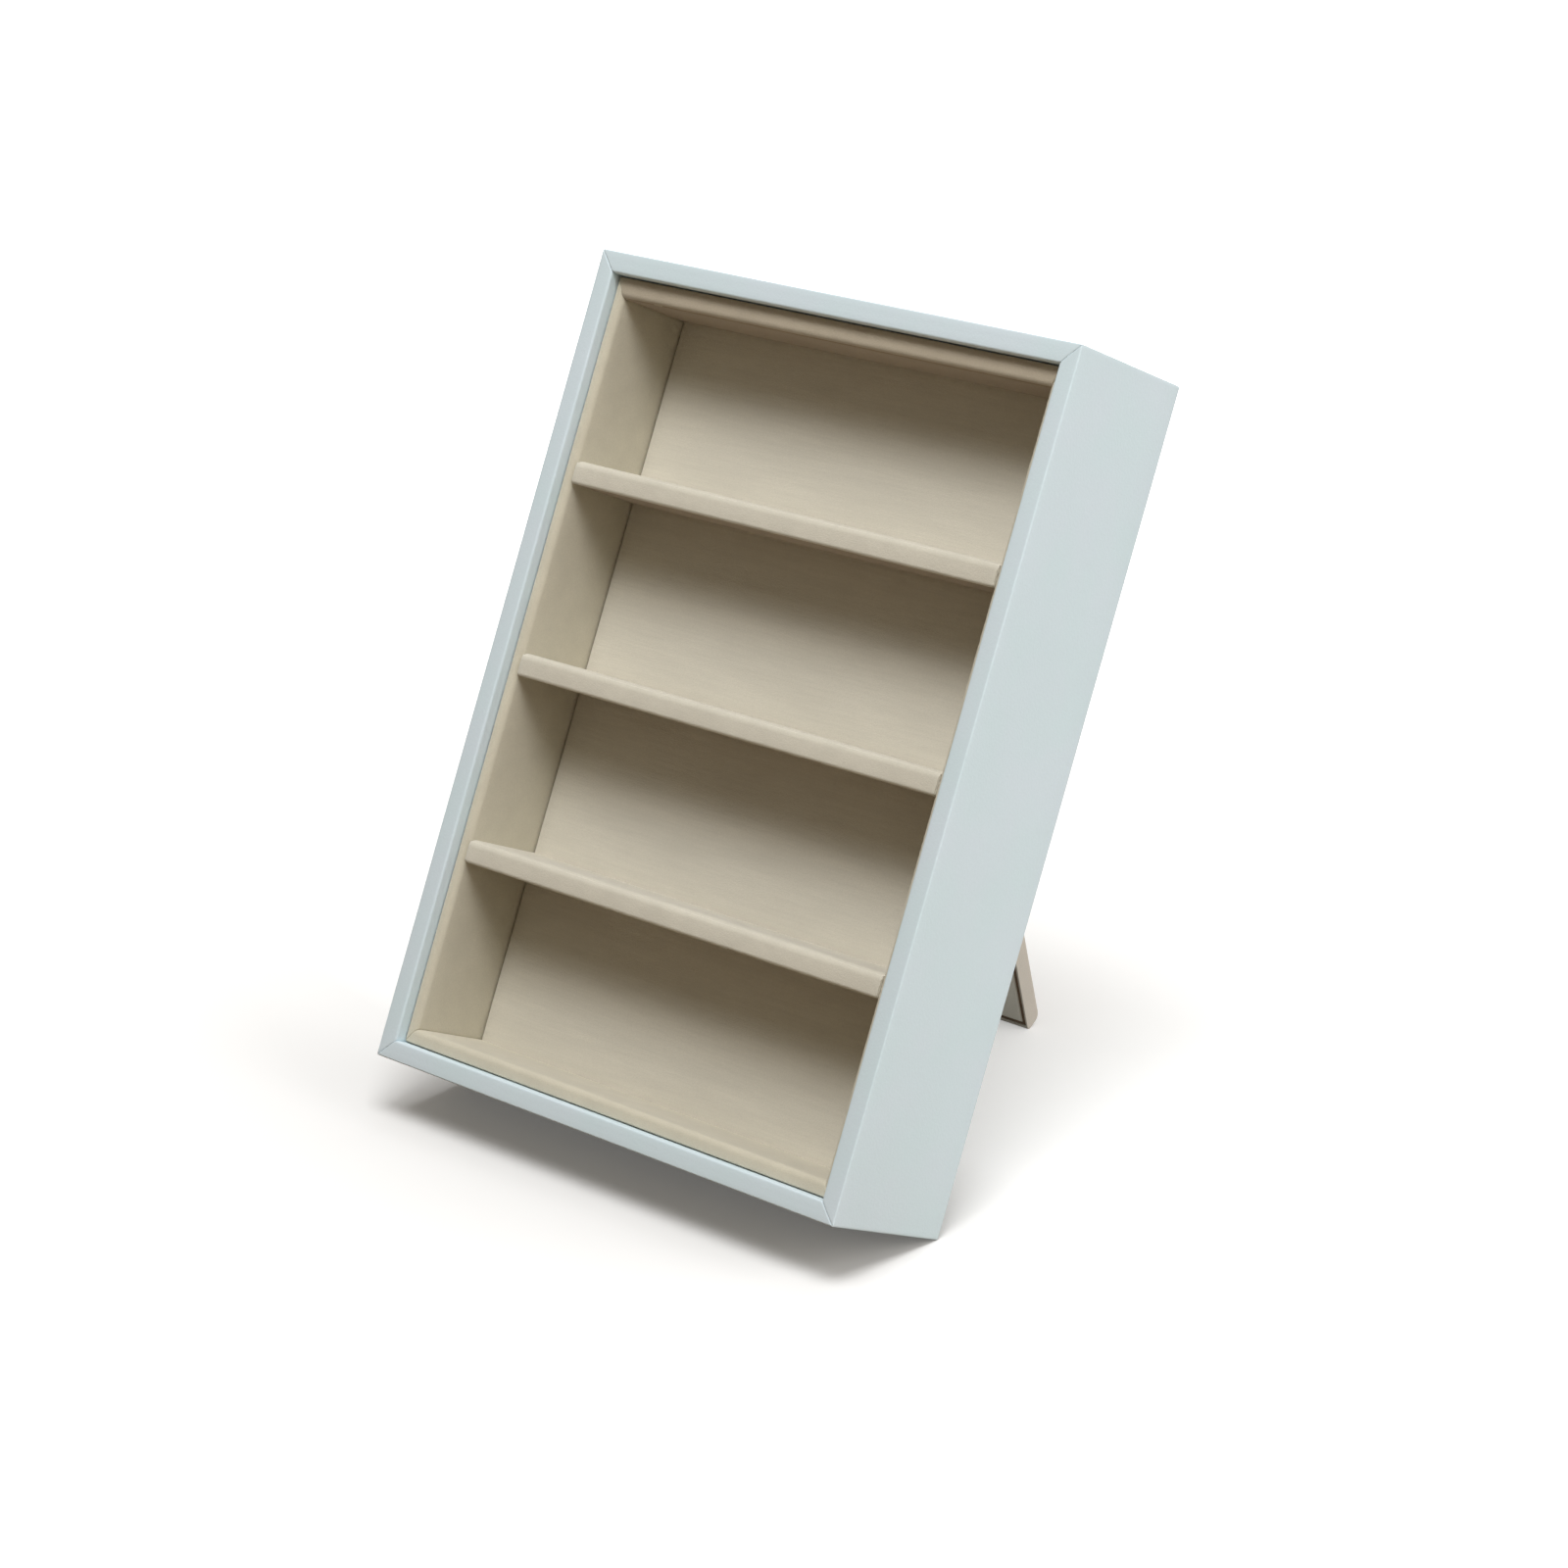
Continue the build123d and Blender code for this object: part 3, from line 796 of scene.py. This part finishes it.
def add_floor():
    """White floor that keeps the shadow of the tray and turns plain white away from it."""
    mesh = bpy.data.meshes.new("studio_floor")
    corners = [(x * FLOOR_HALF, y * FLOOR_HALF, 0) for x, y in FLOOR_CORNERS]
    mesh.from_pydata(corners, [], [(0, 1, 2, 3)])
    floor = bpy.data.objects.new("studio_floor", mesh)
    bpy.context.scene.collection.objects.link(floor)
    material, tree, shader, coordinates = start_material("studio_floor")
    shown = shown_rays(tree)
    split = tree.nodes.new("ShaderNodeSeparateXYZ")
    tree.links.new(coordinates, split.inputs[0])
    behind = remap(tree, split.outputs["Y"], BACK_FLOOR_FROM, BACK_FLOOR_WHOLE, 0, 1)
    bounce = blend_colours(tree, behind, FLOOR_BOUNCE, BACK_FLOOR_BOUNCE)
    tree.links.new(blend_colours(tree, shown, bounce, FLOOR_WHITE), shader.inputs["Base Color"])
    shader.inputs["Roughness"].default_value = 1.0
    shader.inputs["Specular IOR Level"].default_value = 0.0
    shader.inputs["Emission Color"].default_value = WHITE
    distance = tree.nodes.new("ShaderNodeVectorMath")
    distance.operation = "LENGTH"
    tree.links.new(coordinates, distance.inputs[0])
    far_lift = remap(tree, distance.outputs["Value"], FLOOR_LIFT_FROM, FLOOR_WHITE_FROM,
                     FLOOR_LIFT, 1)
    back_lift = remap(tree, behind, 0, 1, 0, BACK_FLOOR_LIFT)
    lift = combine(tree, "MAXIMUM", far_lift, back_lift)
    tree.links.new(combine(tree, "MULTIPLY", lift, shown), shader.inputs["Emission Strength"])
    mesh.materials.append(material)


def hang_lamp(name, light, place_from):
    """Lamp in that direction from the tray, turned towards it."""
    lamp = bpy.data.objects.new(name, light)
    outward = Vector(place_from).normalized()
    lamp.location = TRAY_CENTRE + outward * LAMP_DISTANCE
    lamp.rotation_euler = (-outward).to_track_quat("-Z", "Y").to_euler()
    bpy.context.scene.collection.objects.link(lamp)


def add_softbox(name, place_from, level, spread):
    """Round lamp near the tray, which lights its top a little more than its foot."""
    light = bpy.data.lights.new(name, "AREA")
    light.shape = "DISK"
    light.size = 2 * LAMP_DISTANCE * tan(spread / 2)
    light.energy = level * pi * LAMP_DISTANCE ** 2
    hang_lamp(name, light, place_from)


def add_sun(name, place_from, level, spread):
    """Soft lamp far away."""
    light = bpy.data.lights.new(name, "SUN")
    light.energy = level
    light.angle = spread
    hang_lamp(name, light, place_from)


def add_camera():
    """Camera at the photograph's viewing angle."""
    lens = bpy.data.cameras.new("camera")
    lens.lens = CAMERA_LENS
    camera = bpy.data.objects.new("camera", lens)
    camera.location = CAMERA_PLACE
    camera.rotation_euler = (CAMERA_AIM - CAMERA_PLACE).to_track_quat("-Z", "Y").to_euler()
    bpy.context.scene.collection.objects.link(camera)
    bpy.context.scene.camera = camera


def set_world():
    """Even, warm light from all round that shows as white, and colours shown as written."""
    world = bpy.data.worlds.new("studio")
    world.use_nodes = True
    background = world.node_tree.nodes["Background"]
    shown = shown_rays(world.node_tree)
    world.node_tree.links.new(blend_colours(world.node_tree, shown, WORLD_COLOUR, WHITE),
                              background.inputs["Color"])
    level = remap(world.node_tree, shown, 0, 1, WORLD_LEVEL, 1)
    world.node_tree.links.new(level, background.inputs["Strength"])
    bpy.context.scene.world = world
    bpy.context.scene.view_settings.view_transform = "Standard"


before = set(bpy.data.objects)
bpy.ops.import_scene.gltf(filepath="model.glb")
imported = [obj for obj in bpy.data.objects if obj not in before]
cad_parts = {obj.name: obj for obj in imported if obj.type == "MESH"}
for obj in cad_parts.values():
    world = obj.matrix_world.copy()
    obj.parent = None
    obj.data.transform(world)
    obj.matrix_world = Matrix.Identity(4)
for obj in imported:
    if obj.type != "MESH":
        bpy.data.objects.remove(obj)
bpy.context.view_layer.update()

BLUE = leatherette("leatherette", LEATHERETTE_COLOUR)
SUEDE = suede("suede", SUEDE_COLOUR, NO_NAP)
SHADED_WALL_SUEDE = suede("shaded_wall_suede", SHADED_WALL_SUEDE_COLOUR, NO_NAP)
SHADED_TOP_SUEDE = suede("shaded_top_suede", SHADED_TOP_SUEDE_COLOUR, NO_NAP)
PAD_SUEDE = suede("pad_suede", PAD_SUEDE_COLOUR, PAD_NAP, PAD_STREAKS)
PAINTED_UNDERSIDE_SHADE = suede("suede_painted_underside_shade", PAINTED_UNDERSIDE_SHADE_COLOUR, NO_NAP)
LEG_SUEDE = suede("leg_suede", LEG_SUEDE_COLOUR, LEG_NAP)
PAINTED_LIGHT_LEG_LINING = suede("leg_lining", PAINTED_LIGHT_LINING_COLOUR, LEG_NAP)
BOARD = board("pressed_board", BOARD_COLOUR)
PAINTED_GROOVE_SHADE = board("painted_groove_shade", PAINTED_GROOVE_SHADE_COLOUR)
FOAM = foam("divider_foam", FOAM_COLOUR)
PAPER = board("lining_paper", PAPER_COLOUR)
STEEL = steel("hinge_steel", STEEL_COLOUR)

build_case()
build_insert()
build_leg()
dress_cad({
    "_board": BOARD,
    "_core": FOAM,
    "_leaf": STEEL,
    "_pin": STEEL,
    "_rivets": STEEL,
})

set_world()
add_floor()
for lamp_name, (place_from, level, spread) in SOFTBOXES.items():
    add_softbox(lamp_name, place_from, level, spread)
for lamp_name, (place_from, level, spread) in SUNS.items():
    add_sun(lamp_name, place_from, level, spread)
add_camera()
